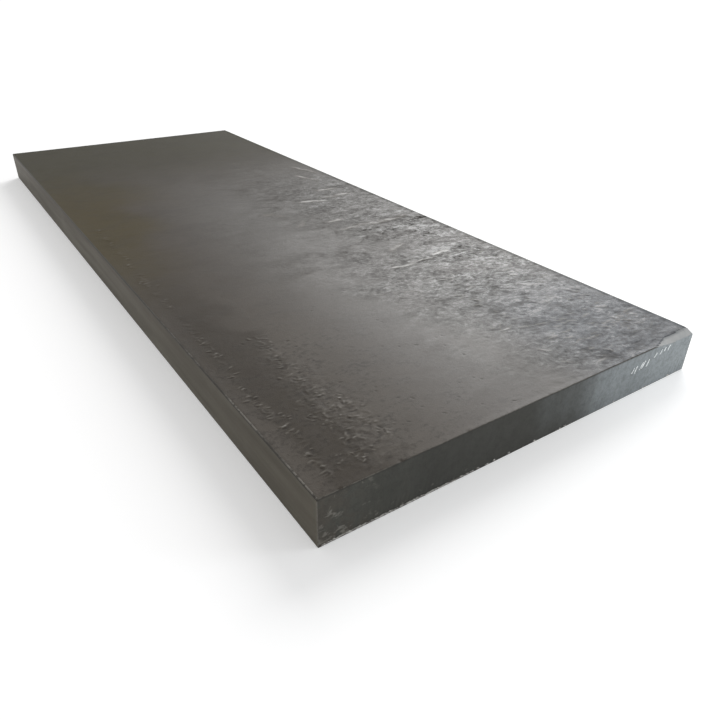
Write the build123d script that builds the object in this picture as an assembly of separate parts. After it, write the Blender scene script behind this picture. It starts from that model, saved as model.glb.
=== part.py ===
from build123d import *
import os

# Heavy steel plate, hot rolled and flame cut to length, lying flat on its underside.
# X runs along the plate in the rolling direction, Y across it and Z up.
# The origin is the middle of the underside.

# Driving dimensions, in millimetres.
plate_length = 3100.0
plate_width = 1200.0
plate_thickness = 125.0

# Long arrises: the rolls and the handling leave the upper pair rounder than the lower pair.
upper_arris_radius = 4.0
lower_arris_radius = 2.5

# The torch melts the outline of each cut end over to a small even radius.
cut_arris_radius = 1.5


def rolled_section():
    """Cross-section of the plate in Y and Z, standing on the floor with its arrises rounded."""
    outline = Plane.YZ * Rectangle(plate_width, plate_thickness, align=(Align.CENTER, Align.MIN))
    upper_corners = outline.vertices().group_by(Axis.Z)[-1]
    outline = fillet(upper_corners, upper_arris_radius)
    lower_corners = outline.vertices().group_by(Axis.Z)[0]
    return fillet(lower_corners, lower_arris_radius)


def cut_to_length(section):
    """The section run out along X to both cut ends, with the outline of each end melted over."""
    blank = extrude(section, amount=plate_length / 2, both=True)
    cut_ends = blank.faces().filter_by(Axis.X)
    return fillet(cut_ends.edges(), cut_arris_radius)


steel_plate = cut_to_length(rolled_section())
steel_plate.label = "steel_plate"

os.makedirs("parts", exist_ok=True)
export_step(steel_plate, "parts/steel_plate.step")
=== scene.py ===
import math
import random

import bmesh
import bpy
from mathutils import Matrix, Vector, kdtree, noise


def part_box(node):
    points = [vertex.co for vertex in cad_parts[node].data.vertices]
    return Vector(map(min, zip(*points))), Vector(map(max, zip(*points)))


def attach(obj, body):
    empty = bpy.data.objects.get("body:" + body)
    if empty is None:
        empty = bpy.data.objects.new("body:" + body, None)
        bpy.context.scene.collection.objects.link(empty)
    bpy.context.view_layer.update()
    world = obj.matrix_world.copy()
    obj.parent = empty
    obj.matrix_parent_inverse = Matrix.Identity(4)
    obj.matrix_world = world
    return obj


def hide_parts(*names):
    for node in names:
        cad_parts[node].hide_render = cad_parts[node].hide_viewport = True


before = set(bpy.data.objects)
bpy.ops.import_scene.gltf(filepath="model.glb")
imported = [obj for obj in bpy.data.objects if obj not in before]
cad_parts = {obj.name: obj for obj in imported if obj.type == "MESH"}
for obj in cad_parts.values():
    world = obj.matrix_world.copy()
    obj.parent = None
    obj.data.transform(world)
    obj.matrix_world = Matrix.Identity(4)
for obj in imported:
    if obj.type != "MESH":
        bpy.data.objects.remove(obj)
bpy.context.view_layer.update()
plateLow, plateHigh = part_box("steel_plate")
plateSize = plateHigh - plateLow
plateMiddle = (plateLow + plateHigh) / 2
print("frame loaded, plate", [round(side, 4) for side in plateSize])


# small tools for shaping

def fade(value, start, end):
    # smooth step from 0 at start to 1 at end
    share = min(1.0, max(0.0, (value - start) / (end - start)))
    return share * share * (3.0 - 2.0 * share)


def lengthAt(share):
    # 0 is the far cut end, 1 the near one
    return plateLow.x + share * plateSize.x


def widthAt(share):
    # 0 is the left long side, 1 the right one
    return plateLow.y + share * plateSize.y


def lengthShare(co):
    return (co.x - plateLow.x) / plateSize.x


def widthShare(co):
    return (co.y - plateLow.y) / plateSize.y


def heightShare(co):
    return (co.z - plateLow.z) / plateSize.z


def ripple(co, alongScale, acrossScale, layer):
    # noise from about -1 to 1 that can run longer one way than the other
    return noise.noise((co.x * alongScale, co.y * acrossScale, layer))


def ripples(co, octaves):
    # ripples added up: strength, scale along, scale across and layer of each
    return sum(strength * ripple(co, *form) for strength, *form in octaves)


def toShare(value):
    # noise from -1 to 1 brought to 0 to 1
    return 0.5 + 0.5 * value


def makePiece(name, bm):
    mesh = bpy.data.meshes.new(name)
    bm.to_mesh(mesh)
    bm.free()
    piece = bpy.data.objects.new(name, mesh)
    bpy.context.scene.collection.objects.link(piece)
    return piece


# the plate's skin: grid, arrises, finer zones

plateForm = {
    "upperArris": 0.004,
    "lowerArris": 0.0025,
    "cutArris": 0.0015,
    "arrisSteps": 3,
    "widestCell": 0.0372,
    "holdingLoop": 0.010,   # loop beside each arris that keeps the flats flat
    "slack": 0.00001,       # this close to a plane counts as on it
    "zoneSlack": 0.0001,    # the same for the limits of a zone, as a share
    "straight": 0.99,       # an edge this near to an axis runs along it
    "flat": 0.97,           # a face this near to an axis is square to it
}

# where the grid is finer: shares of length, width and height, and the cell there
whole = (0.0, 1.0)
topOnly = (0.95, 1.0)
finerZones = [
    {"along": (0.15, 1.0), "across": whole, "up": topOnly, "cell": 0.0186},
    {"along": (0.33, 1.0), "across": (0.42, 1.0), "up": topOnly, "cell": 0.0093},
    {"along": (0.72, 1.0), "across": (0.0, 0.60), "up": topOnly, "cell": 0.0093},
    {"along": (0.66, 1.0), "across": (0.54, 0.998), "up": topOnly, "cell": 0.0047},
    {"along": (0.79, 0.994), "across": (0.06, 0.23), "up": topOnly, "cell": 0.0047},
    {"along": (0.997, 1.0), "across": whole, "up": whole, "cell": 0.0047},
    {"along": (0.0, 0.003), "across": whole, "up": whole, "cell": 0.0093},
    {"along": whole, "across": (0.0, 0.008), "up": whole, "cell": 0.0186},
    {"along": whole, "across": (0.992, 1.0), "up": whole, "cell": 0.0186},
]

fining = {
    "splitOver": 1.4,                # an edge is split when it is this many cells long
    "passes": 4,                     # at most, in one zone
    "markCells": (0.0047, 0.0024),   # grid inside the pits and crimps, halved twice
    "markReach": 0.014,              # more than half the length of any of them
    "pinchedOver": 0.15,             # skin pinched more than this gets that grid too
}


def runsAlong(edge, axis):
    run = edge.verts[1].co - edge.verts[0].co
    return abs(run[axis]) > plateForm["straight"] * run.length


def plateBlank():
    bm = bmesh.new()
    bmesh.ops.create_cube(bm, size=1.0)
    bmesh.ops.scale(bm, vec=plateSize, verts=bm.verts)
    bmesh.ops.translate(bm, vec=plateMiddle, verts=bm.verts)
    for axis in range(3):
        cuts = max(1, round(plateSize[axis] / plateForm["widestCell"]) - 1)
        edges = [e for e in bm.edges if runsAlong(e, axis)]
        bmesh.ops.subdivide_edges(bm, edges=edges, cuts=cuts, use_grid_fill=True)
    inset = plateForm["holdingLoop"]
    for axis in range(3):
        normal = Vector((axis == 0, axis == 1, axis == 2))
        for place in (plateLow[axis] + inset, plateHigh[axis] - inset):
            geom = bm.verts[:] + bm.edges[:] + bm.faces[:]
            bmesh.ops.bisect_plane(
                bm, geom=geom, dist=plateForm["slack"], plane_co=normal * place, plane_no=normal,
            )
    return bm


def roundArris(bm, edges, radius):
    bmesh.ops.bevel(
        bm, geom=edges, offset=radius, offset_type="OFFSET", segments=plateForm["arrisSteps"],
        profile=0.5, affect="EDGES", material=-1, clamp_overlap=True,
    )


def onPlane(value, place):
    return abs(value - place) < plateForm["slack"]


def longArris(bm, height):
    found = []
    for edge in bm.edges:
        if all(onPlane(v.co.z, height) and onPlane(abs(v.co.y), plateHigh.y) for v in edge.verts):
            found.append(edge)
    return found


def cutOutline(bm):
    found = []
    for edge in bm.edges:
        if not all(onPlane(abs(v.co.x), plateHigh.x) for v in edge.verts):
            continue
        if any(abs(face.normal.x) < plateForm["flat"] for face in edge.link_faces):
            found.append(edge)
    return found


def inside(value, limits):
    return limits[0] - plateForm["zoneSlack"] <= value <= limits[1] + plateForm["zoneSlack"]


def inZone(co, zone):
    flat = inside(lengthShare(co), zone["along"]) and inside(widthShare(co), zone["across"])
    return flat and inside(heightShare(co), zone["up"])


def tooLong(edge, cell):
    return edge.calc_length() > fining["splitOver"] * cell


def splitEdges(bm, edges):
    bmesh.ops.subdivide_edges(bm, edges=edges, cuts=1, use_grid_fill=True, use_single_edge=True)


def makeFiner(bm):
    for zone in finerZones:
        for level in range(fining["passes"]):
            edges = [e for e in bm.edges if tooLong(e, zone["cell"])]
            edges = [e for e in edges if inZone((e.verts[0].co + e.verts[1].co) / 2, zone)]
            if not edges:
                break
            splitEdges(bm, edges)


def makeFinerAt(bm, marks):
    tree = kdtree.KDTree(len(marks))
    for index, mark in enumerate(marks):
        tree.insert((mark["x"], mark["y"], plateHigh.z), index)
    tree.balance()
    for cell in fining["markCells"]:
        found = set()
        for face in bm.faces:
            if face.normal.z < plateForm["flat"]:
                continue
            centre = face.calc_center_median()
            near = tree.find_range(centre, fining["markReach"] + cell)
            marked = any(gap < marks[index]["long"] + cell for place, index, gap in near)
            if marked or pinchedShare(centre) > fining["pinchedOver"]:
                found.update(face.edges)
        splitEdges(bm, [e for e in bm.edges if e in found and tooLong(e, cell)])


# marks in the rolled top face: pits, crimps, creases and laps, each an oval of half lengths long and wide;
# tone darkens a pit with painted shade and brightens a crest with a painted highlight, shade paints shade
# into the trough beside a crest

pitting = {
    "seed": 11, "tries": 1500, "turn": (0.4, 1.5), "tone": 0.7,
    "long": (0.0030, 0.0085), "wide": (0.0016, 0.0034), "deep": (0.0004, 0.0011),
    "along": (0.55, 0.992), "across": (0.03, 0.97),   # none outside these shares of length and width
    "moreAlong": (0.72, 1.0), "moreAcross": (0.05, 0.12), "fewerAcross": (0.30, 0.70), "fewer": 0.9,
    "strays": 0.008, "crowd": 0.7,
    "clumpScale": 8.0, "clumpLayer": 41.0, "clumpFrom": (-0.15, 0.30), "clumpLeast": 0.2, "clumpRise": 1.5,
}

# rows of crimps: one beside the left arris, one further in, a loose one between them at the near end
crimping = {"bow": 0.8, "tone": 0.8, "shade": 0.45}
crimpRows = [
    {"seed": 5, "count": 55, "stray": 0.008, "crowd": 0.75, "turn": (1.68, 0.30), "reach": 0.017,
     "clumps": 11.0, "long": (0.006, 0.012), "wide": (0.0026, 0.0046), "tall": (0.0005, 0.0010),
     "path": ((0.46, 0.046), (0.56, 0.045), (0.65, 0.044), (0.77, 0.045), (0.825, 0.047),
              (0.867, 0.038), (0.911, 0.042), (0.936, 0.050), (0.989, 0.046))},
    {"seed": 8, "count": 50, "stray": 0.015, "crowd": 0.85, "turn": (1.35, 0.55), "reach": 0.034,
     "clumps": 16.0, "long": (0.005, 0.010), "wide": (0.0024, 0.0042), "tall": (0.0004, 0.0009),
     "path": ((0.80, 0.155), (0.83, 0.150), (0.867, 0.148), (0.895, 0.142), (0.92, 0.165),
              (0.94, 0.180), (0.975, 0.190))},
    {"seed": 9, "count": 45, "stray": 0.028, "crowd": 0.9, "turn": (1.35, 0.70), "reach": 0.045,
     "clumps": 22.0, "long": (0.004, 0.008), "wide": (0.0020, 0.0034), "tall": (0.0003, 0.0007),
     "path": ((0.905, 0.118), (0.925, 0.125), (0.95, 0.145), (0.97, 0.125), (0.986, 0.085))},
]

# short creases on the right-hand side, near the end
creasing = {
    "seed": 17, "tries": 330, "turn": (1.30, 0.40), "tone": (0.6, 1.3), "shade": 0.45, "bow": 1.6,
    "long": (0.010, 0.030), "wide": (0.0042, 0.0062), "tall": (0.0004, 0.0010),
    "along": (0.66, 0.99), "across": (0.50, 0.97), "moreAlong": (0.66, 0.84), "moreAcross": (0.50, 0.72),
    "clumpScale": 7.0, "clumpLayer": 31.0, "clumpFrom": (-0.25, 0.25),
}

# long laps across the right-hand side, each a ragged chain of strokes
lapping = {
    "seed": 29, "pitch": 0.030, "fewest": 3, "jitter": 0.3, "size": (0.80, 1.20), "stray": 0.30,
    "sway": 0.12, "slim": (0.55, 1.10), "bow": 0.6, "shade": 0.10, "tall": 0.0004, "tone": 1.35,
}

# start and end are shares of length and width; what a lap says itself comes before lapping
laps = [
    {"start": (0.743, 0.640), "end": (0.747, 0.705), "wide": 0.0120, "tall": 0.0003, "tone": 2.8},
    {"start": (0.7455, 0.70), "end": (0.7415, 0.775), "wide": 0.0080, "tall": 0.0003, "tone": 2.0},
    {"start": (0.734, 0.797), "end": (0.737, 0.850), "wide": 0.0100, "tall": 0.0004, "tone": 2.5},
    {"start": (0.494, 0.712), "end": (0.499, 0.795), "wide": 0.0228},
    {"start": (0.486, 0.805), "end": (0.494, 0.942), "wide": 0.0144},
    {"start": (0.374, 0.878), "end": (0.406, 0.906), "wide": 0.0168},
    {"start": (0.325, 0.935), "end": (0.370, 0.970), "wide": 0.0168},
    {"start": (0.455, 0.846), "end": (0.460, 0.920), "wide": 0.0144},
    {"start": (0.5175, 0.532), "end": (0.532, 0.602), "wide": 0.0300, "tall": 0.0002, "tone": 0.6},
    {"start": (0.582, 0.578), "end": (0.5615, 0.645), "wide": 0.0240, "tall": 0.0002, "tone": 0.5},
    {"start": (0.5815, 0.684), "end": (0.580, 0.741), "wide": 0.0168},
    {"start": (0.6115, 0.698), "end": (0.613, 0.820), "wide": 0.0144},
    {"start": (0.613, 0.815), "end": (0.6145, 0.950), "wide": 0.0192},
    {"start": (0.582, 0.940), "end": (0.584, 0.982), "wide": 0.0120},
    {"start": (0.703, 0.715), "end": (0.692, 0.784), "wide": 0.0140, "tall": 0.0005, "tone": 1.5},
]


def alongPath(path, share):
    # point on a path of (length share, width share) corners
    steps = len(path) - 1
    part = min(int(share * steps), steps - 1)
    rest = share * steps - part
    first, second = Vector(path[part]), Vector(path[part + 1])
    return first.lerp(second, rest)


def clumpShare(mark, form):
    # 1 in the thick of a clump, 0 between two
    scale = form["clumpScale"]
    return fade(noise.noise((mark["x"] * scale, mark["y"] * scale, form["clumpLayer"])), *form["clumpFrom"])


def scatterPits():
    form = pitting
    pits = []
    dice = random.Random(form["seed"])
    for number in range(form["tries"]):
        lengthwise, crosswise = dice.random(), dice.random()
        pit = {
            "x": lengthAt(lengthwise), "y": widthAt(crosswise), "turn": dice.uniform(*form["turn"]),
            "long": dice.uniform(*form["long"]), "wide": dice.uniform(*form["wide"]),
            "deep": dice.uniform(*form["deep"]), "tall": 0.0, "bow": 0.0, "tone": form["tone"],
        }
        # thickest towards the near end and the left
        chance = fade(lengthwise, *form["moreAlong"])
        chance *= 1.0 - form["fewer"] * fade(crosswise, *form["fewerAcross"])
        chance *= fade(crosswise, *form["moreAcross"])
        chance *= form["clumpLeast"] + form["clumpRise"] * clumpShare(pit, form)
        kept = dice.random() < form["strays"] + form["crowd"] * chance
        if kept and inside(lengthwise, form["along"]) and inside(crosswise, form["across"]):
            pits.append(pit)
    return pits


def pinchCrimps():
    crimps = []
    for row in crimpRows:
        dice = random.Random(row["seed"])
        for number in range(row["count"]):
            spot = alongPath(row["path"], dice.random() ** row["crowd"])
            crimps.append({
                "x": lengthAt(spot.x), "y": widthAt(spot.y) + dice.gauss(0.0, row["stray"]),
                "turn": dice.gauss(*row["turn"]), "long": dice.uniform(*row["long"]),
                "wide": dice.uniform(*row["wide"]), "deep": 0.0, "tall": dice.uniform(*row["tall"]),
                "bow": dice.uniform(-crimping["bow"], crimping["bow"]),
                "tone": crimping["tone"], "shade": crimping["shade"],
            })
    return crimps


def creaseMarks():
    form = creasing
    creases = []
    dice = random.Random(form["seed"])
    for number in range(form["tries"]):
        lengthwise, crosswise = dice.uniform(*form["along"]), dice.uniform(*form["across"])
        crease = {
            "x": lengthAt(lengthwise), "y": widthAt(crosswise), "turn": dice.gauss(*form["turn"]),
            "long": dice.uniform(*form["long"]), "wide": dice.uniform(*form["wide"]), "deep": 0.0,
            "tall": dice.uniform(*form["tall"]), "bow": dice.uniform(-1.0, 1.0) * form["bow"],
            "tone": dice.uniform(*form["tone"]), "shade": form["shade"],
        }
        # in clumps, fewer towards the middle
        chance = clumpShare(crease, form) * fade(lengthwise, *form["moreAlong"])
        chance *= fade(crosswise, *form["moreAcross"])
        if dice.random() < chance:
            creases.append(crease)
    print("creases", len(creases))
    return creases


def lapMarks():
    strokes = []
    dice = random.Random(lapping["seed"])
    for lap in laps:
        form = {**lapping, **lap}
        start = Vector((lengthAt(form["start"][0]), widthAt(form["start"][1])))
        end = Vector((lengthAt(form["end"][0]), widthAt(form["end"][1])))
        run = end - start
        count = max(form["fewest"], round(run.length / form["pitch"]))
        for number in range(count):
            jitter = dice.uniform(-form["jitter"], form["jitter"])
            spot = start + run * ((number + 0.5 + jitter) / count)
            size = dice.uniform(*form["size"])
            strokes.append({
                "x": spot.x + dice.gauss(0.0, form["stray"] * form["wide"]), "y": spot.y,
                "turn": math.atan2(run.y, run.x) + dice.gauss(0.0, form["sway"]),
                "long": size * run.length / count, "wide": form["wide"] * dice.uniform(*form["slim"]),
                "deep": 0.0, "tall": form["tall"] * size, "bow": dice.uniform(-1.0, 1.0) * form["bow"],
                "tone": form["tone"] * size, "shade": form["shade"],
            })
    print("lap strokes", len(strokes))
    return strokes


# the pinched skin: wavy crests that run roughly across the plate, tight in the rows of crimps

pinching = {
    "between": -0.4, "sharp": 4.0,                        # level between two crests, and their slope
    "bendLayer": 4.0, "crestLayer": 5.5, "unevenLayer": 2.6,
    "uneven": 0.9, "unevenSwing": 0.5,                    # crests of unequal height
    "clumpFrom": (-0.40, 0.15), "core": 0.2,              # fully pinched this near to a row's middle
}
# the tone of each kind of pinched skin pales its crests: a painted highlight
rowPinch = {
    "turn": 1.55, "across": 64.0, "along": 42.0, "bend": 0.010, "bendScale": 40.0, "uneven": 110.0,
    "tall": 0.0008, "tone": 0.55,
}

# wider crests on the right, near the end
widePinch = {
    "turn": 1.25, "across": 36.0, "along": 13.0, "bend": 0.014, "bendScale": 20.0, "uneven": 60.0,
    "tall": 0.0008, "tone": 0.50,
    "fromAlong": (0.72, 0.86), "fromAcross": (0.58, 0.76),
    "clumps": (9.0, 7.0, 21.0), "clumpFrom": (-0.20, 0.20),
}


def rowOffset(row, co):
    # distance of a point from a row, across the plate; none past the row's ends
    share = lengthShare(co)
    for first, second in zip(row["path"], row["path"][1:]):
        if first[0] <= share <= second[0]:
            rest = (share - first[0]) / (second[0] - first[0])
            return co.y - widthAt(first[1] + (second[1] - first[1]) * rest)
    return None


def pinchedShare(co):
    # 1 in the middle of a row's clumps, 0 away from the rows
    most = 0.0
    for row in crimpRows:
        offset = rowOffset(row, co)
        if offset is not None and abs(offset) < row["reach"]:
            clump = fade(noise.noise((co.x * row["clumps"], row["seed"], 0.0)), *pinching["clumpFrom"])
            most = max(most, clump * fade(abs(offset), row["reach"], pinching["core"] * row["reach"]))
    return most


def widelyPinchedShare(co):
    # 1 in the clumps on the right-hand side, towards the near end
    place = fade(lengthShare(co), *widePinch["fromAlong"]) * fade(widthShare(co), *widePinch["fromAcross"])
    return place * fade(ripple(co, *widePinch["clumps"]), *widePinch["clumpFrom"])


def pinchedCrest(co, form):
    # 1 on a crest, less between two
    bend = form["bend"] * ripple(co, form["bendScale"], form["bendScale"], pinching["bendLayer"])
    cosTurn = math.cos(form["turn"])
    sinTurn = math.sin(form["turn"])
    acrossCrest = (co.x * sinTurn - co.y * cosTurn + bend) * form["across"]
    alongCrest = (co.x * cosTurn + co.y * sinTurn) * form["along"]
    slope = pinching["sharp"] * abs(noise.noise((acrossCrest, alongCrest, pinching["crestLayer"])))
    crest = max(pinching["between"], 1.0 - slope)
    uneven = ripple(co, form["uneven"], form["uneven"], pinching["unevenLayer"])
    return crest, pinching["uneven"] + pinching["unevenSwing"] * uneven


# relief of the top: waves, flaked scale, crumpled skin, then the marks

topRelief = {
    "rim": 0.016,            # the relief dies away this close to an arris
    "drop": 0.0006, "proud": 0.0006, "toneLimits": (-1.0, 2.0),
    "waveDepth": 0.0006, "wave": (1.9, 3.04, 0.2),   # scale along, scale across, layer
    # lost scale on the right-hand side; flakes and rumples are ripples added up
    "flakeDepth": 0.0009, "flakeFrom": (-0.10, 0.25),
    "flakes": ((0.9, 36.0, 22.0, 3.1), (0.7, 85.0, 60.0, 7.7), (0.4, 170.0, 130.0, 9.2)),
    "flakeAlong": (0.27, 0.55), "flakeAcross": (0.50, 0.80), "flakeLean": 0.10,
    # crumpled skin round the inner crimps; its tone pales the raised skin and darkens the hollows, as
    # painted highlight and painted shade
    "rumpleDepth": 0.0009, "rumpleTone": 0.6,
    "rumples": ((1.0, 75.0, 60.0, 12.0), (0.6, 140.0, 110.0, 15.0)),
    "rumpleAlong": (0.79, 0.88), "rumpleMiddle": 0.15, "rumpleOff": (0.075, 0.02),
}

# a crest has a shallow trough on its near side; in widths of the mark, the depth as a share of the crest;
# the crest's painted highlight sits off towards its far side, which faces the light, and its painted shade
# lies in the trough
markForm = {"reach": 3.4, "troughOff": 1.5, "troughDepth": 0.4, "brightOff": 0.3}


def flakyShare(co):
    # 1 where the scale has flaked, towards the right and the near end
    across = widthShare(co) + topRelief["flakeLean"] * lengthShare(co)
    return fade(lengthShare(co), *topRelief["flakeAlong"]) * fade(across, *topRelief["flakeAcross"])


def rumpledShare(co):
    # 1 round the inner row of crimps
    off = abs(widthShare(co) - topRelief["rumpleMiddle"])
    return fade(lengthShare(co), *topRelief["rumpleAlong"]) * fade(off, *topRelief["rumpleOff"])


def broadRelief(co):
    # how far a point sinks, its tone of painted highlight and shade, and how much of its scale is lost
    wave = toShare(ripple(co, *topRelief["wave"]))
    lost = fade(ripples(co, topRelief["flakes"]), *topRelief["flakeFrom"])
    rumple = rumpledShare(co) * ripples(co, topRelief["rumples"])
    sink = topRelief["drop"] + wave * topRelief["waveDepth"] - rumple * topRelief["rumpleDepth"]
    sink += lost * flakyShare(co) * topRelief["flakeDepth"]
    tone = topRelief["rumpleTone"] * rumple
    for pinched, form in ((pinchedShare(co), rowPinch), (widelyPinchedShare(co), widePinch)):
        if pinched > 0.0:
            crest, uneven = pinchedCrest(co, form)
            rise = pinched * crest * uneven
            sink -= rise * form["tall"]
            tone += rise * form["tone"]
    return sink, tone, lost


def markSpot(mark, co):
    # place of a point in a mark's own oval, 1 at its rim
    offX = co.x - mark["x"]
    offY = co.y - mark["y"]
    cosTurn = math.cos(mark["turn"])
    sinTurn = math.sin(mark["turn"])
    lengthwise = (offX * cosTurn + offY * sinTurn) / mark["long"]
    sideways = (offY * cosTurn - offX * sinTurn) / mark["wide"]
    return lengthwise, sideways - mark["bow"] * (1.0 - lengthwise ** 2)


def dome(lengthwise, sideways):
    return max(0.0, 1.0 - lengthwise ** 2 - sideways ** 2)


def pressMark(mark, tree, sink, tone):
    reach = max(mark["long"], markForm["reach"] * mark["wide"])
    for place, index, gap in tree.find_range((mark["x"], mark["y"], plateHigh.z), reach):
        lengthwise, sideways = markSpot(mark, place)
        middle = dome(lengthwise, sideways)
        if mark["tall"] == 0.0:
            sink[index] += mark["deep"] * middle
            # a pit is darkened: painted shade
            tone[index] -= mark["tone"] * middle
            continue
        trough = dome(lengthwise, sideways + markForm["troughOff"])
        # painted highlight on the crest's far side, painted shade in its trough
        bright = dome(lengthwise, sideways - markForm["brightOff"])
        sink[index] += mark["tall"] * (markForm["troughDepth"] * trough - middle)
        tone[index] += mark["tone"] * bright - mark["shade"] * trough


def skinTop(bm, marks):
    verts = [v for v in bm.verts if onPlane(v.co.z, plateHigh.z)]
    reliefLayer = bm.verts.layers.float["relief"]
    flakeLayer = bm.verts.layers.float["flake"]
    tree = kdtree.KDTree(len(verts))
    sink = []
    tone = []
    for index, vert in enumerate(verts):
        tree.insert(vert.co, index)
        sunk, toned, vert[flakeLayer] = broadRelief(vert.co)
        sink.append(sunk)
        tone.append(toned)
    tree.balance()
    for mark in marks:
        pressMark(mark, tree, sink, tone)
    lowest, highest = topRelief["toneLimits"]
    for index, vert in enumerate(verts):
        fromSide = plateHigh.y - abs(vert.co.y) - plateForm["upperArris"]
        fromCut = plateHigh.x - abs(vert.co.x) - plateForm["cutArris"]
        clear = fade(min(fromSide, fromCut), 0.0, topRelief["rim"])
        # the relief layer carries that tone, painted highlight and painted shade
        vert[reliefLayer] = max(lowest, min(highest, tone[index])) * clear
        vert.co.z -= max(-topRelief["proud"], sink[index]) * clear
    print("top skinned,", len(verts), "vertices")


# relief of the flame-cut ends

cutRelief = {
    "rim": 0.006, "waveDepth": 0.0005, "waveAcross": 3.5, "waveUp": 9.0,
    "dragDepth": 0.0004, "dragPitch": 0.013, "dragLag": 0.012, "dragLow": (0.45, 0.95),
    "sway": 0.006, "swayScale": 11.0,
    "stretchScale": 4.2, "stretchLayer": 3.0, "stretchFrom": (-0.15, 0.35),   # drag lines come in stretches
}


def skinEnds(bm):
    form = cutRelief
    layer = bm.verts.layers.float["relief"]
    for vert in bm.verts:
        if not onPlane(abs(vert.co.x), plateHigh.x):
            continue
        co = vert.co.copy()
        side = math.copysign(1.0, co.x)
        low = 1.0 - heightShare(co)
        wave = toShare(noise.noise((co.y * form["waveAcross"], co.z * form["waveUp"], side)))
        sway = form["sway"] * noise.noise((co.y * form["swayScale"], 0.0, side))
        lag = form["dragLag"] * low * low + sway
        line = 0.5 - 0.5 * math.cos(2.0 * math.pi * (co.y + lag) / form["dragPitch"])
        stretch = noise.noise((co.y * form["stretchScale"], form["stretchLayer"], side))
        drag = line * fade(stretch, *form["stretchFrom"]) * fade(low, *form["dragLow"])
        edge = min(plateHigh.y - abs(co.y), plateHigh.z - co.z, co.z - plateLow.z)
        clear = fade(edge, 0.0, form["rim"])
        vert.co.x -= side * (wave * form["waveDepth"] + drag * form["dragDepth"]) * clear
        vert[layer] = -drag * clear


# knocks: the near right corner is worn off, the cut arris is nicked

cornerKnock = {
    "start": 0.843, "full": 0.925, "least": 0.05, "ontoTop": 0.026, "downCut": 0.012,
    "uneven": 0.0006, "unevenScale": 90.0, "unevenRise": 4.0, "toneLow": 0.15, "toneRise": 2.0,
}
nickLean = Vector((0.6, 0.0, 0.8))
arrisNicks = [
    {"across": 0.163, "reach": 0.009, "depth": 0.0035},
    {"across": 0.042, "reach": 0.008, "depth": 0.003},
    {"across": 0.31, "reach": 0.006, "depth": 0.002},
    {"across": 0.52, "reach": 0.005, "depth": 0.0018},
    {"across": 0.71, "reach": 0.007, "depth": 0.002},
]

# faces by what they are, in the order of the finishes
faceKinds = {"skin": 0, "side": 1, "cut": 2, "arris": 3}


def knockCorner(bm):
    # the arris widens into a worn slope towards the near right corner
    form = cornerKnock
    layer = bm.verts.layers.float["knock"]
    for vert in bm.verts:
        grow = fade(widthShare(vert.co), form["start"], form["full"])
        if grow < form["least"]:
            continue
        ontoTop = form["ontoTop"] * grow
        downCut = form["downCut"] * grow
        past = 1.0 - (plateHigh.x - vert.co.x) / ontoTop - (plateHigh.z - vert.co.z) / downCut
        if past > 0.0:
            slope = Vector((1.0 / ontoTop, 0.0, 1.0 / downCut))
            uneven = form["uneven"] * toShare(noise.noise(vert.co * form["unevenScale"]))
            uneven *= min(1.0, form["unevenRise"] * past)
            vert.co -= slope * (past / slope.length_squared) + slope.normalized() * uneven
            vert[layer] = min(1.0, form["toneLow"] + form["toneRise"] * past)
    for face in bm.faces:
        if all(vert[layer] > 0.0 for vert in face.verts):
            face.material_index = faceKinds["cut"]


def nickArris(bm):
    for nick in arrisNicks:
        spot = Vector((plateHigh.x, widthAt(nick["across"]), plateHigh.z))
        for vert in bm.verts:
            gap = (vert.co - spot).length
            if gap < nick["reach"]:
                vert.co -= nickLean * nick["depth"] * (1.0 - gap / nick["reach"])


def sortFaces(bm):
    for face in bm.faces:
        face.material_index = faceKinds["arris"]
        for axis, kind in enumerate(("cut", "side", "skin")):
            if abs(face.normal[axis]) > plateForm["flat"]:
                face.material_index = faceKinds[kind]


def makePlate():
    bm = plateBlank()
    roundArris(bm, longArris(bm, plateHigh.z), plateForm["upperArris"])
    roundArris(bm, longArris(bm, plateLow.z), plateForm["lowerArris"])
    bm.normal_update()
    roundArris(bm, cutOutline(bm), plateForm["cutArris"])
    marks = scatterPits() + pinchCrimps()
    print("pits and crimps", len(marks))
    makeFiner(bm)
    bm.normal_update()
    makeFinerAt(bm, marks)
    marks += lapMarks() + creaseMarks()
    for name in ("relief", "flake", "knock"):
        bm.verts.layers.float.new(name)
    bm.normal_update()
    sortFaces(bm)
    skinTop(bm, marks)
    skinEnds(bm)
    nickArris(bm)
    knockCorner(bm)
    bm.normal_update()
    print("plate grid", len(bm.verts), "vertices,", sum(len(f.verts) - 2 for f in bm.faces), "triangles")
    plate = makePiece("steelPlate", bm)
    plate.data.shade_smooth()
    plate.modifiers.new("faceWeight", "WEIGHTED_NORMAL")
    return plate


# tools for materials

def startMaterial(name):
    material = bpy.data.materials.new(name)
    material.use_nodes = True
    return material, material.node_tree, material.node_tree.nodes["Principled BSDF"]


def feed(tree, node, inputs):
    # links what another node gives, sets what is a plain value
    for socket, value in inputs.items():
        if isinstance(value, bpy.types.NodeSocket):
            tree.links.new(value, node.inputs[socket])
        else:
            node.inputs[socket].default_value = value


def put(tree, kind, inputs, **settings):
    node = tree.nodes.new(kind)
    for name, value in settings.items():
        setattr(node, name, value)
    feed(tree, node, inputs)
    return node


def objectSpot(tree):
    return tree.nodes.new("ShaderNodeTexCoord").outputs["Object"]


def grain(tree, spot, scale, detail, rough, bend=0.0, stretch=(1.0, 1.0, 1.0)):
    mapped = put(tree, "ShaderNodeMapping", {"Vector": spot, "Scale": stretch}).outputs[0]
    inputs = {"Vector": mapped, "Scale": scale, "Detail": detail, "Roughness": rough, "Distortion": bend}
    return put(tree, "ShaderNodeTexNoise", inputs).outputs["Fac"]


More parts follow.
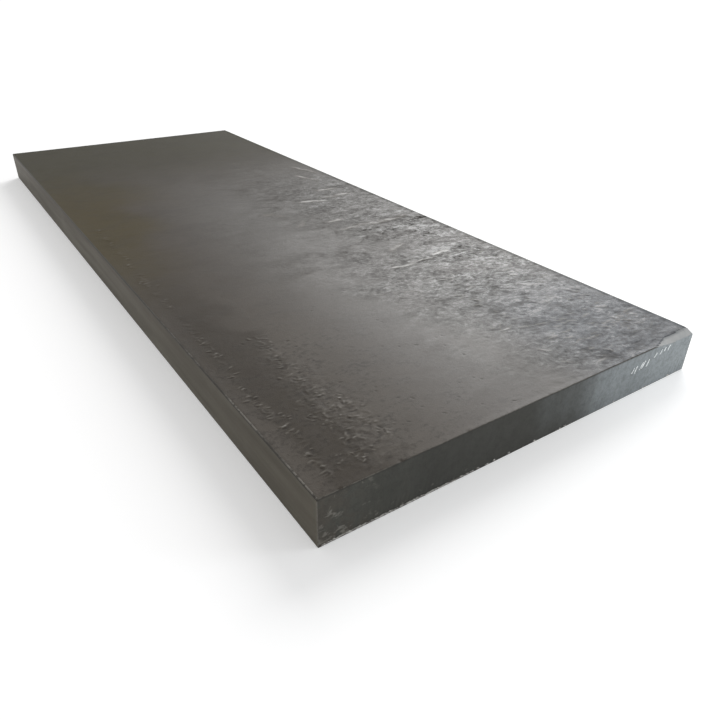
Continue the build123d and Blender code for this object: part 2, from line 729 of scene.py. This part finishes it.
def span(tree, value, start, end, low=0.0, high=1.0):
    inputs = {"Value": value, "From Min": start, "From Max": end, "To Min": low, "To Max": high}
    return put(tree, "ShaderNodeMapRange", inputs, interpolation_type="SMOOTHSTEP").outputs["Result"]


def reckon(tree, operation, first, second):
    return put(tree, "ShaderNodeMath", {0: first, 1: second}, operation=operation).outputs[0]


def opaque(colour):
    return colour if isinstance(colour, bpy.types.NodeSocket) else (*colour, 1.0)


def mix(tree, share, first, second):
    # sockets of the mix node for colours: 0 the share, 6 and 7 the two colours, 2 the result
    node = put(tree, "ShaderNodeMix", {}, data_type="RGBA")
    feed(tree, node, {0: share, 6: opaque(first), 7: opaque(second)})
    return node.outputs[2]


def product(tree, fields, factors):
    # a factor is the name of a field, a plain number, or a smooth span of a field:
    # (field, start, end) goes from 0 to 1, (field, start, end, low, high) from low to high
    result = None
    for factor in factors:
        if isinstance(factor, str):
            factor = fields[factor]
        elif isinstance(factor, tuple):
            factor = span(tree, fields[factor[0]], *factor[1:])
        result = factor if result is None else reckon(tree, "MULTIPLY", result, factor)
    return result


def total(tree, fields, products):
    result = None
    for factors in products:
        step = product(tree, fields, factors)
        result = step if result is None else reckon(tree, "ADD", result, step)
    return result


def makeFields(tree, look):
    # what steers a finish: grains, the plate's axes, the mesh's own layers, then sums of products of those
    spot = objectSpot(tree)
    fields = {}
    for name, form in look["grains"].items():
        fields[name] = grain(tree, spot, **form)
    axes = put(tree, "ShaderNodeSeparateXYZ", {"Vector": spot}).outputs
    fields.update(zip(("along", "across", "up"), axes))
    for name in look["layers"]:
        layer = put(tree, "ShaderNodeAttribute", {}, attribute_name=name, attribute_type="GEOMETRY")
        fields[name] = layer.outputs["Fac"]
    for name, products in look["fields"].items():
        fields[name] = total(tree, fields, products)
    for name, (first, second) in look.get("greater", {}).items():
        fields[name] = reckon(tree, "MAXIMUM", fields[first], fields[second])
    return fields


def layered(tree, look, fields, colour, coats):
    # coats of colour, each as strong as its product
    for name, factors in coats:
        colour = mix(tree, product(tree, fields, factors), colour, look["colours"][name])
    return colour


def roughen(tree, shader, height, strength, distance):
    bump = put(tree, "ShaderNodeBump", {"Height": height, "Strength": strength, "Distance": distance})
    feed(tree, shader, {"Normal": bump.outputs[0]})


# finishes of the plate; along and across are metres from its middle, up is metres from the floor;
# each field is a sum of products, whose factors are explained at product

millScaleLook = {
    "colours": {
        "olive": (0.047, 0.043, 0.028), "brown": (0.066, 0.053, 0.027), "umber": (0.056, 0.048, 0.039),
        "grey": (0.074, 0.064, 0.054), "pool": (0.038, 0.031, 0.023), "sootAndShade": (0.018, 0.015, 0.012),
        "pale": (0.105, 0.092, 0.078), "dark": (0.044, 0.040, 0.036), "silver": (0.086, 0.080, 0.073),
        "blue": (0.072, 0.078, 0.087), "steel": (0.190, 0.187, 0.180), "crest": (0.150, 0.138, 0.120),
        "lap": (0.42, 0.41, 0.39), "blueLap": (0.36, 0.38, 0.40),
        "warmSheen": (1.0, 0.94, 0.90), "pinkSheen": (1.0, 0.965, 0.965),
        "greenSheen": (0.955, 1.0, 0.985), "blueSheen": (0.97, 0.97, 1.0),
    },
    "grains": {
        "patches": {"scale": 2.4, "detail": 3.0, "rough": 0.5},
        "clouds": {"scale": 8.0, "detail": 5.0, "rough": 0.6, "bend": 0.6, "stretch": (1.0, 0.6, 1.0)},
        "mottle": {"scale": 22.0, "detail": 6.0, "rough": 0.68, "bend": 0.5, "stretch": (1.0, 0.7, 1.0)},
        "bands": {"scale": 15.0, "detail": 4.0, "rough": 0.60, "bend": 0.6, "stretch": (1.0, 0.45, 1.0)},
        "flakes": {"scale": 38.0, "detail": 7.0, "rough": 0.70, "bend": 0.6, "stretch": (1.0, 0.5, 1.0)},
        "specks": {"scale": 100.0, "detail": 5.0, "rough": 0.70, "bend": 0.3, "stretch": (1.0, 0.65, 1.0)},
        "fine": {"scale": 420.0, "detail": 3.0, "rough": 0.6},
        "smears": {"scale": 11.0, "detail": 5.0, "rough": 0.62, "bend": 0.8, "stretch": (1.0, 0.45, 1.0)},
    },
    "layers": ("flake", "relief"),
    "fields": {
        # edges that wander
        "alongSway": [["along"], [("patches", 0.3, 0.7, -0.13, 0.13)]],
        "acrossSway": [["across"], [("patches", 0.3, 0.7, -0.13, 0.13)]],
        "poolEdge": [["across"], [("clouds", 0.3, 0.7, -0.05, 0.05)]],
        "stripEdge": [["across"], [("mottle", 0.3, 0.7, -0.016, 0.016)]],
        "seamEdge": [["across"], [("specks", 0.3, 0.7, -0.006, 0.006)]],
        "flakedEdge": [["acrossSway"], [("along", 0.45, 1.00, -0.20, 0.07)],
                       [("along", 1.05, 1.35, 0.0, -0.10)]],
        # intact scale: a dark pool beside the left arris, paler round it
        "pool": [[("alongSway", 0.35, 1.0), ("across", -0.570, -0.540), ("poolEdge", -0.40, -0.48)]],
        "paler": [[("along", 0.45, 1.10), ("poolEdge", -0.46, -0.36)]],
        "strip": [[("along", 1.0, 1.35), ("stripEdge", -0.535, -0.570)]],
        "speckled": [[("along", 0.70, 1.15), ("mottle", 0.36, 0.58), ("specks", 0.47, 0.62)]],
        # the far right of the top, where the sheen falls; besides the gloss it pales the base colour there,
        # a painted sheen
        "sheen": [[("along", -1.1, 0.1), ("across", -0.50, 0.05)]],
        # flaked scale at the right: streaks across the plate, flakes in them, specks in those
        "flaked": [[("alongSway", -0.85, 0.15), ("flakedEdge", -0.10, 0.28)]],
        "crisp": [[("along", 1.30, 0.85, 0.50, 1.0), ("clouds", 0.36, 0.58, 0.55, 1.15),
                   ("along", 0.0, 0.60, 0.55, 0.95)]],
        "bare": [["bands", 0.30], ["flakes", 0.36], ["specks", 0.54], ["flake", -0.04]],
        "bluish": [[("along", 0.85, 1.35), ("across", 0.05, 0.35)]],
        "lapped": [[("relief", 0.7, 2.0), ("flakes", 0.36, 0.58, 0.20, 1.0)]],
        # silky scale between the two, smeared where it meets the flakes
        "smooth": [["sheen"], ["sheen", "flaked", -1.0]],
        "smeared": [[("along", -0.75, -0.15), ("along", 1.10, 0.60), ("acrossSway", -0.16, 0.10),
                     ("flaked", 0.7, 0.0)]],
        # places that catch less or more light
        "farther": [[("along", 0.68, 0.46), ("along", -0.45, -0.20), ("across", 0.02, 0.28)]],
        "duller": [[("along", 0.22, 0.40), ("along", 0.90, 0.62), ("acrossSway", 0.08, 0.22)]],
        "glint": [[("along", 1.02, 1.20), ("along", 1.46, 1.28), ("across", -0.09, 0.01),
                   ("across", 0.19, 0.09)]],
        "seam": [[("seamEdge", plateHigh.y - 0.016, plateHigh.y - 0.007)]],
        # the barer, the shinier
        "shine": [
            ["flaked", "crisp", ("bare", 0.46, 0.74, -0.11, 0.17)],
            ["flaked", "crisp", ("mottle", 0.40, 0.62, -0.026, 0.040)],
            [("sheen", 0.0, 1.0, 0.14, 0.19)],
            ["bluish", -0.03],
            ["farther", -0.06],
            ["duller", -0.030],
            ["glint", 0.05],
            [("mottle", 0.35, 0.65, -0.024, 0.024)],
            ["smooth", ("specks", 0.38, 0.66, -0.022, 0.030)],
            ["lapped", 0.06],
            ["speckled", -0.03],
            ["smeared", ("smears", 0.39, 0.61, -0.070, 0.060)],
            ["smeared", ("flakes", 0.40, 0.62, -0.035, 0.035)],
        ],
        "gloss": [["shine", ("along", -0.4, 1.1, 0.50, 0.90), ("seam", 0.0, 1.0, 1.0, 0.35)]],
        "dullness": [[("sheen", 0.0, 1.0, 0.62, 0.48)], ["flaked", ("bare", 0.48, 0.72, 0.04, -0.06)]],
        "height": [["specks", ("flaked", 0.0, 1.0, 0.22, 1.0)], ["fine", 0.18],
                   ["mottle", ("smeared", 0.0, 1.0, 0.5, 1.2)]],
    },
    # brown at the left, olive at the far end, greyer in the middle
    "intact": [
        ("umber", [("along", 0.0, 0.8)]),
        ("grey", [("acrossSway", -0.50, -0.20)]),
        ("olive", [("along", -0.2, -1.3)]),
        ("pool", ["pool", 0.70]),
        ("pale", ["paler", 0.75]),
        ("pale", ["strip", 0.40]),
        ("sootAndShade", [("clouds", 0.40, 0.70, 0.0, 0.16)]),
    ],
    "plain": [("blue", ["bluish"]), ("sootAndShade", [("clouds", 0.40, 0.70, 0.0, 0.14)])],
    "worn": [("dark", [("bare", 0.60, 0.50), "crisp"]), ("steel", [("bare", 0.60, 0.72), "crisp"])],
    "silky": [("sootAndShade", [("mottle", 0.42, 0.68, 0.0, 0.20)]), ("sootAndShade", ["speckled", 0.45])],
    "marked": [
        ("sootAndShade", [("fine", 0.40, 0.75, 0.0, 0.22)]),
        # the relief layer darkens pits, troughs and hollows with painted shade and pales crests with a
        # painted highlight
        ("sootAndShade", [("relief", -0.05, -0.60, 0.0, 0.60)]),
        ("crest", [("relief", 0.08, 0.75, 0.0, 0.45)]),
    ],
    "lapShare": ["lapped", 0.75],
    "cast": [("greenSheen", [("clouds", 0.42, 0.56)])],
    "bump": {"strength": 0.7, "distance": 0.0022},
}


def millScale():
    look = millScaleLook
    colours = look["colours"]
    material, tree, shader = startMaterial("millScale")
    fields = makeFields(tree, look)
    dull = layered(tree, look, fields, colours["brown"], look["intact"])
    plain = layered(tree, look, fields, colours["silver"], look["plain"])
    worn = layered(tree, look, fields, plain, look["worn"])
    # the paler plain colour where the sheen falls is painted sheen
    silky = layered(tree, look, fields, mix(tree, fields["sheen"], dull, plain), look["silky"])
    colour = mix(tree, fields["flaked"], silky, worn)
    colour = layered(tree, look, fields, colour, look["marked"])
    lap = mix(tree, fields["bluish"], colours["lap"], colours["blueLap"])
    colour = mix(tree, product(tree, fields, look["lapShare"]), colour, lap)
    cast = layered(tree, look, fields, colours["pinkSheen"], look["cast"])
    tint = mix(tree, fields["flaked"], colours["warmSheen"], cast)
    tint = mix(tree, fields["bluish"], tint, colours["blueSheen"])
    feed(tree, shader, {
        "Base Color": colour, "Roughness": fields["dullness"],
        "Specular IOR Level": fields["gloss"], "Specular Tint": tint,
    })
    roughen(tree, shader, fields["height"], **look["bump"])
    return material


sideLook = {
    "colours": {
        "warm": (0.098, 0.086, 0.062), "dark": (0.058, 0.050, 0.038), "pale": (0.125, 0.112, 0.085),
    },
    "grains": {
        "streaks": {"scale": 16.0, "detail": 5.0, "rough": 0.6, "bend": 0.2, "stretch": (0.06, 1.0, 1.0)},
        "patches": {"scale": 5.0, "detail": 4.0, "rough": 0.55, "bend": 0.3},
        "fine": {"scale": 240.0, "detail": 3.0, "rough": 0.55, "stretch": (0.4, 1.0, 1.0)},
    },
    "layers": (),
    "fields": {},
    "ground": "warm",
    "coats": [
        ("dark", [("streaks", 0.35, 0.70, 0.0, 0.6)]),
        ("pale", [("patches", 0.48, 0.75, 0.0, 0.5)]),
        ("dark", [("fine", 0.4, 0.8, 0.0, 0.3)]),
        # paler beside the near cut: partly rubbed, partly a painted highlight of the upright corner
        ("pale", [("along", plateHigh.x - 0.009, plateHigh.x - 0.002, 0.0, 0.7)]),
    ],
    "gloss": [0.25],
    "dullness": [("streaks", 0.3, 0.7, 0.52, 0.66)],
    "height": [["streaks"], ["fine", 0.4]],
    "bump": {"strength": 0.2, "distance": 0.0015},
}

cutLook = {
    "colours": {
        "dark": (0.043, 0.043, 0.037), "olive": (0.070, 0.071, 0.060), "blue": (0.27, 0.295, 0.305),
        "darkerAndShade": (0.020, 0.019, 0.018), "scuff": (0.22, 0.21, 0.185), "warm": (0.080, 0.070, 0.058),
        "knock": (0.36, 0.36, 0.355),
    },
    "grains": {
        "bands": {"scale": 6.0, "detail": 3.0, "rough": 0.5, "stretch": (1.0, 1.0, 0.10)},
        "lines": {"scale": 110.0, "detail": 3.0, "rough": 0.55, "bend": 0.2, "stretch": (1.0, 1.0, 0.06)},
        "smears": {"scale": 26.0, "detail": 4.0, "rough": 0.6, "bend": 0.5},
        "dapples": {"scale": 75.0, "detail": 5.0, "rough": 0.65, "bend": 0.4},
        "fine": {"scale": 300.0, "detail": 3.0, "rough": 0.55},
        "flecks": {"scale": 48.0, "detail": 4.0, "rough": 0.6, "bend": 0.5, "stretch": (1.0, 0.6, 1.0)},
    },
    "layers": ("relief", "knock"),
    "fields": {
        # lean grows across the end and drops low down; it steers the painted reflection and the painted
        # shade
        "lean": [["across"], [("bands", 0.3, 0.7, -0.06, 0.06)], [("up", 0.0, 0.07, -0.05, 0.0)]],
        "flecked": [[("flecks", 0.57, 0.67), ("across", -0.44, -0.53)]],
        # thrown up from the lower edge, on the left
        "spatter": [[("dapples", 0.57, 0.66), ("up", 0.040, 0.008), ("across", -0.15, -0.30)]],
    },
    "greater": {"scuffed": ("flecked", "spatter")},
    # dark at the left and low down, pale blue grey at the right: the paling towards the right is painted
    # reflection, the darkness low down painted shade
    "ground": "dark",
    "coats": [
        ("blue", [("lean", -0.06, 0.42)]),
        ("olive", [("lean", -0.30, -0.52, 0.0, 0.85)]),
        ("warm", [("lean", -0.40, -0.58), ("smears", 0.35, 0.6), 0.8]),
        ("darkerAndShade", [("lines", 0.45, 0.75, 0.0, 0.14)]),
        ("darkerAndShade", [("dapples", 0.40, 0.70, 0.0, 0.30)]),
        ("scuff", ["scuffed", 0.7]),
        # darker just under the top arris: painted shade below the rounded edge
        ("darkerAndShade", [("up", plateHigh.z - 0.007, plateHigh.z - 0.002, 0.0, 0.55)]),
        ("darkerAndShade", [("relief", -0.1, -0.9, 0.0, 0.25)]),
        ("darkerAndShade", [("fine", 0.4, 0.75, 0.0, 0.2)]),
        ("knock", ["knock", ("dapples", 0.30, 0.60, 0.6, 1.0)]),
    ],
    "gloss": [0.2],
    "dullness": [("smears", 0.3, 0.7, 0.50, 0.62)],
    "height": [["lines"], ["fine", 0.6]],
    "bump": {"strength": 0.15, "distance": 0.001},
}

arrisLook = {
    "colours": {
        "scale": (0.036, 0.031, 0.024), "bright": (0.19, 0.178, 0.155), "upright": (0.150, 0.140, 0.122),
    },
    "grains": {
        "rubs": {"scale": 7.0, "detail": 5.0, "rough": 0.65},
        "fine": {"scale": 110.0, "detail": 3.0, "rough": 0.6},
    },
    "layers": (),
    "fields": {
        # rubbed bright in a thin line towards the near end, less on the cut: partly wear, partly a painted
        # highlight along the arris
        "bare": [[("rubs", 0.40, 0.58), ("fine", 0.36, 0.58), ("along", 0.5, 1.2, 0.10, 0.9),
                  ("along", plateHigh.x - 0.006, plateHigh.x - 0.003, 1.0, 0.4),
                  ("up", plateHigh.z - 0.0022, plateHigh.z - 0.0008)]],
        # the four short corners that stand upright, paler: partly wear, partly a painted highlight
        "upright": [[("up", plateHigh.z - 0.003, plateHigh.z - 0.007),
                     ("up", plateLow.z + 0.003, plateLow.z + 0.007)]],
    },
    "ground": "scale",
    "coats": [("bright", ["bare"]), ("upright", ["upright", ("fine", 0.30, 0.55, 0.3, 1.0)])],
    "gloss": [("across", 0.0, 0.5, 0.30, 0.03)],
    "dullness": [0.55],
    "height": [["fine"]],
    "bump": {"strength": 0.2, "distance": 0.001},
}


def coated(name, look):
    # a plainer finish: coats over a ground colour, with its own gloss, dullness and height
    material, tree, shader = startMaterial(name)
    fields = makeFields(tree, look)
    feed(tree, shader, {
        "Base Color": layered(tree, look, fields, look["colours"][look["ground"]], look["coats"]),
        "Specular IOR Level": product(tree, fields, look["gloss"]),
        "Roughness": product(tree, fields, look["dullness"]),
    })
    roughen(tree, shader, total(tree, fields, look["height"]), **look["bump"])
    return material


plate = makePlate()
plate.data.materials.append(millScale())
for name, look in (("rolledSide", sideLook), ("flameCut", cutLook), ("wornArris", arrisLook)):
    plate.data.materials.append(coated(name, look))
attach(plate, "root")
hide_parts("steel_plate")
print("plate finished")


# dross: beads of slag along the lower edge of both cuts

drossForm = {
    "seed": 21, "radius": (0.0013, 0.0026), "step": (0.0026, 0.0050), "stretch": (1.1, 1.9),
    "proud": 0.0014, "sunk": (0.7, 1.0), "rise": (0.0030, 0.0058), "margin": 0.010, "roundness": 2,
    "thinFrom": 0.30, "thinTo": 0.40, "thinned": 0.88,
}


def drossBeads():
    form = drossForm
    bm = bmesh.new()
    dice = random.Random(form["seed"])
    for side in (1.0, -1.0):
        place = plateLow.y + form["margin"]
        while place < plateHigh.y - form["margin"]:
            radius = dice.uniform(*form["radius"])
            share = (place - plateLow.y) / plateSize.y
            crowd = 1.0 - form["thinned"] * fade(share, form["thinFrom"], form["thinTo"])
            if dice.random() < crowd:
                out = form["proud"] - radius * dice.uniform(*form["sunk"])
                high = plateLow.z + dice.uniform(*form["rise"])
                centre = Vector((side * (plateHigh.x + out), place, high))
                stretch = Matrix.Diagonal((1.0, dice.uniform(*form["stretch"]), 1.0, 1.0))
                bmesh.ops.create_icosphere(
                    bm, subdivisions=form["roundness"], radius=radius,
                    matrix=Matrix.Translation(centre) @ stretch,
                )
            place += dice.uniform(*form["step"])
    beads = makePiece("drossBeads", bm)
    beads.data.shade_smooth()
    print("dross", len(beads.data.polygons), "triangles")
    return beads


drossLook = {
    "slag": (0.14, 0.130, 0.115), "bright": (0.46, 0.45, 0.42), "brightFrom": (0.36, 0.56), "dullness": 0.5,
    "mottle": {"scale": 110.0, "detail": 4.0, "rough": 0.6}, "bump": {"strength": 0.3, "distance": 0.001},
}


def drossIron():
    look = drossLook
    material, tree, shader = startMaterial("drossIron")
    mottle = grain(tree, objectSpot(tree), **look["mottle"])
    colour = mix(tree, span(tree, mottle, *look["brightFrom"]), look["slag"], look["bright"])
    feed(tree, shader, {"Base Color": colour, "Roughness": look["dullness"]})
    roughen(tree, shader, mottle, **look["bump"])
    return material


dross = drossBeads()
dross.data.materials.append(drossIron())
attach(dross, "root")
print("dross finished")


# plain chalk ticks on the near cut end, in two loose groups

chalkForm = {
    "seed": 3, "wide": 0.0046, "thick": 0.0016, "proud": 0.0004, "steps": 9, "bow": 0.0028,
    "lean": (0.22, 0.62), "jitter": 0.25, "climb": 0.05, "bob": 0.02, "size": (0.6, 1.1),
    "evenness": 0.75, "ragged": 0.7, "raggedStep": 3.0, "raggedRise": 5.0, "raggedAcross": 90.0,
    "groups": [
        {"from": 0.790, "to": 0.838, "height": 0.66, "tall": 0.022, "count": 5},
        {"from": 0.866, "to": 0.908, "height": 0.80, "tall": 0.018, "count": 4},
    ],
}


def chalkStroke(bm, dice, group, number):
    form = chalkForm
    part = (number + dice.uniform(-form["jitter"], form["jitter"])) / (group["count"] - 1)
    share = group["from"] + (group["to"] - group["from"]) * part
    height = group["height"] + form["climb"] * (part - 0.5) + dice.uniform(-form["bob"], form["bob"])
    centre = Vector((plateHigh.x + form["proud"], widthAt(share), plateLow.z + plateSize.z * height))
    tall = group["tall"] * dice.uniform(*form["size"])
    bow = dice.uniform(-1.0, 1.0) * form["bow"]
    turn = Matrix.Rotation(-dice.uniform(*form["lean"]), 3, "X")
    for vert in bmesh.ops.create_grid(bm, x_segments=1, y_segments=form["steps"], size=0.5)["verts"]:
        rise = vert.co.y
        place = (number * form["raggedStep"] + rise * form["raggedRise"], share * form["raggedAcross"], 0.0)
        wide = form["wide"] * (form["evenness"] + form["ragged"] * noise.noise(place))
        bowed = bow * (1.0 - 4.0 * rise * rise)   # nothing at the ends, where rise is half
        vert.co = centre + turn @ Vector((0.0, vert.co.x * wide + bowed, rise * tall))


def chalkStrokes():
    bm = bmesh.new()
    dice = random.Random(chalkForm["seed"])
    for group in chalkForm["groups"]:
        for number in range(group["count"]):
            chalkStroke(bm, dice, group, number)
    bm.normal_update()
    bmesh.ops.solidify(bm, geom=bm.faces[:], thickness=chalkForm["thick"])
    bmesh.ops.recalc_face_normals(bm, faces=bm.faces)
    return makePiece("chalkTicks", bm)


chalkLook = {
    "chalk": (0.90, 0.92, 0.92), "thin": (0.42, 0.44, 0.45), "chalkFrom": (0.36, 0.48),
    "gaps": {"scale": 520.0, "detail": 3.0, "rough": 0.6}, "dullness": 0.95, "gloss": 0.1,
}


def chalkDust():
    look = chalkLook
    material, tree, shader = startMaterial("chalkDust")
    gaps = grain(tree, objectSpot(tree), **look["gaps"])
    colour = mix(tree, span(tree, gaps, *look["chalkFrom"]), look["thin"], look["chalk"])
    feed(tree, shader, {
        "Base Color": colour, "Roughness": look["dullness"], "Specular IOR Level": look["gloss"],
    })
    return material


chalk = chalkStrokes()
chalk.data.materials.append(chalkDust())
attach(chalk, "root")
print("chalk finished")


# studio

cameraView = {
    "lens": 31.89, "sensor": 36.0,
    "place": (2.3012, -1.0284, 0.9373),
    "looks": (-0.7058, 0.4882, -0.5133),
    "down": (0.4306, -0.2797, -0.8581),
}


def makeCamera():
    data = bpy.data.cameras.new("camera")
    data.lens = cameraView["lens"]
    data.sensor_width = cameraView["sensor"]
    back = -Vector(cameraView["looks"]).normalized()
    up = -Vector(cameraView["down"])
    up = (up - back * up.dot(back)).normalized()
    side = up.cross(back)
    turn = Matrix((side, up, back)).transposed()
    camera = bpy.data.objects.new("camera", data)
    camera.matrix_world = Matrix.Translation(cameraView["place"]) @ turn.to_4x4()
    bpy.context.scene.collection.objects.link(camera)
    bpy.context.scene.camera = camera


makeCamera()

studioLight = {
    "sunFrom": (-0.575, 0.675, 0.463), "sun": {"energy": 2.2, "angle": math.radians(40.0)},
    "sidePlace": (2.7, 1.7, 0.7), "sideAim": (1.55, 0.5, 0.06),
    "side": {"energy": 16.0, "size": 0.8, "color": (0.92, 0.97, 1.0)},
    "fill": 0.55, "background": 1.0, "white": (1.0, 1.0, 1.0, 1.0),
}


def hangLamp(name, kind, settings, direction):
    data = bpy.data.lights.new(name, kind)
    for setting, value in settings.items():
        setattr(data, setting, value)
    lamp = bpy.data.objects.new(name, data)
    lamp.rotation_euler = direction.to_track_quat("-Z", "Y").to_euler()
    bpy.context.scene.collection.objects.link(lamp)
    return lamp


def seenRays(tree):
    # 1 to the camera, in reflections and through glass
    rays = tree.nodes.new("ShaderNodeLightPath").outputs
    seen = reckon(tree, "MAXIMUM", rays["Is Camera Ray"], rays["Is Glossy Ray"])
    return reckon(tree, "MAXIMUM", seen, rays["Is Transmission Ray"])


def makeLights():
    hangLamp("skySoftbox", "SUN", studioLight["sun"], -Vector(studioLight["sunFrom"]))
    aim = Vector(studioLight["sideAim"]) - Vector(studioLight["sidePlace"])
    lamp = hangLamp("sideSoftbox", "AREA", studioLight["side"], aim)
    lamp.location = studioLight["sidePlace"]
    world = bpy.data.worlds.new("studio")
    world.use_nodes = True
    tree = world.node_tree
    # a white background, also in reflections; the fill lights everything
    strength = span(tree, seenRays(tree), 0.0, 1.0, studioLight["fill"], studioLight["background"])
    feed(tree, tree.nodes["Background"], {"Color": studioLight["white"], "Strength": strength})
    bpy.context.scene.world = world


makeLights()

floorForm = {"reach": 300.0, "colour": (0.85, 0.85, 0.85, 1.0), "lift": 0.30}


def makeFloor():
    bm = bmesh.new()
    bmesh.ops.create_grid(bm, x_segments=1, y_segments=1, size=floorForm["reach"])
    floor = makePiece("floor", bm)
    material, tree, shader = startMaterial("paleFloor")
    lift = reckon(tree, "MULTIPLY", seenRays(tree), floorForm["lift"])
    feed(tree, shader, {
        "Base Color": floorForm["colour"], "Roughness": 1.0, "Specular IOR Level": 0.0,
        "Emission Color": studioLight["white"], "Emission Strength": lift,
    })
    floor.data.materials.append(material)


makeFloor()
bpy.context.scene.view_settings.view_transform = "Standard"
print("studio set")

bpy.context.view_layer.update()
